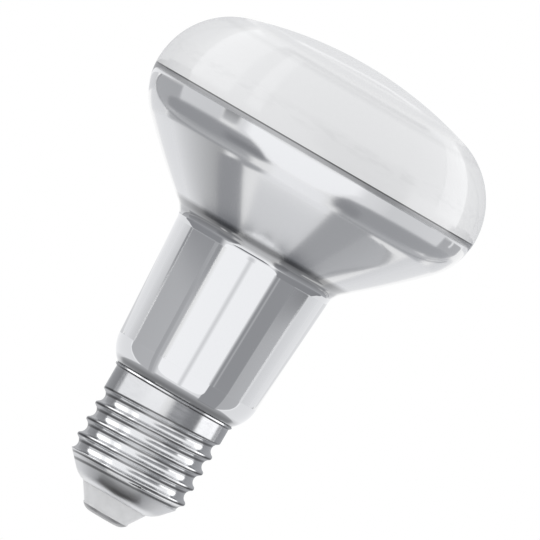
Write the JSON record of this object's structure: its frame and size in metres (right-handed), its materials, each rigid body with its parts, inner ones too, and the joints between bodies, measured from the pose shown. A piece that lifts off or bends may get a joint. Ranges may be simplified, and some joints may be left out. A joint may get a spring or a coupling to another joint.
{
  "type": "reflector bulb",
  "caption": "Reflector lamp with a mirrored cone, a satin domed face and a screw cap, for a screw lampholder.",
  "frame": {"origin": "on the lamp's axis, in the plane of the centre contact's end face", "axes": "+Z along the lamp's axis from the cap to the domed face; +X to the right and +Y away from the viewer when the pictured side is seen with the face up"},
  "size_m": [0.075, 0.075, 0.1073],
  "materials": {
    "bulb_glass": "satin face, mirror coat on the cone and the neck",
    "cap_metal": "satin, rolled",
    "cap_insulation": "smooth",
    "contact_metal": "nickel plated",
    "solder": "dull tin solder",
    "cement": "matt cement",
    "lead_wire": "drawn wire"
  },
  "bodies": {
    "root": {"glass_bulb": "bulb_glass", "cap_shell": "cap_metal", "cap_insulator": "cap_insulation", "centre_contact": "contact_metal", "contact_solder": "solder", "basing_cement": "cement", "centre_lead": "lead_wire", "side_lead": "lead_wire"}
  },
  "joints": []
}
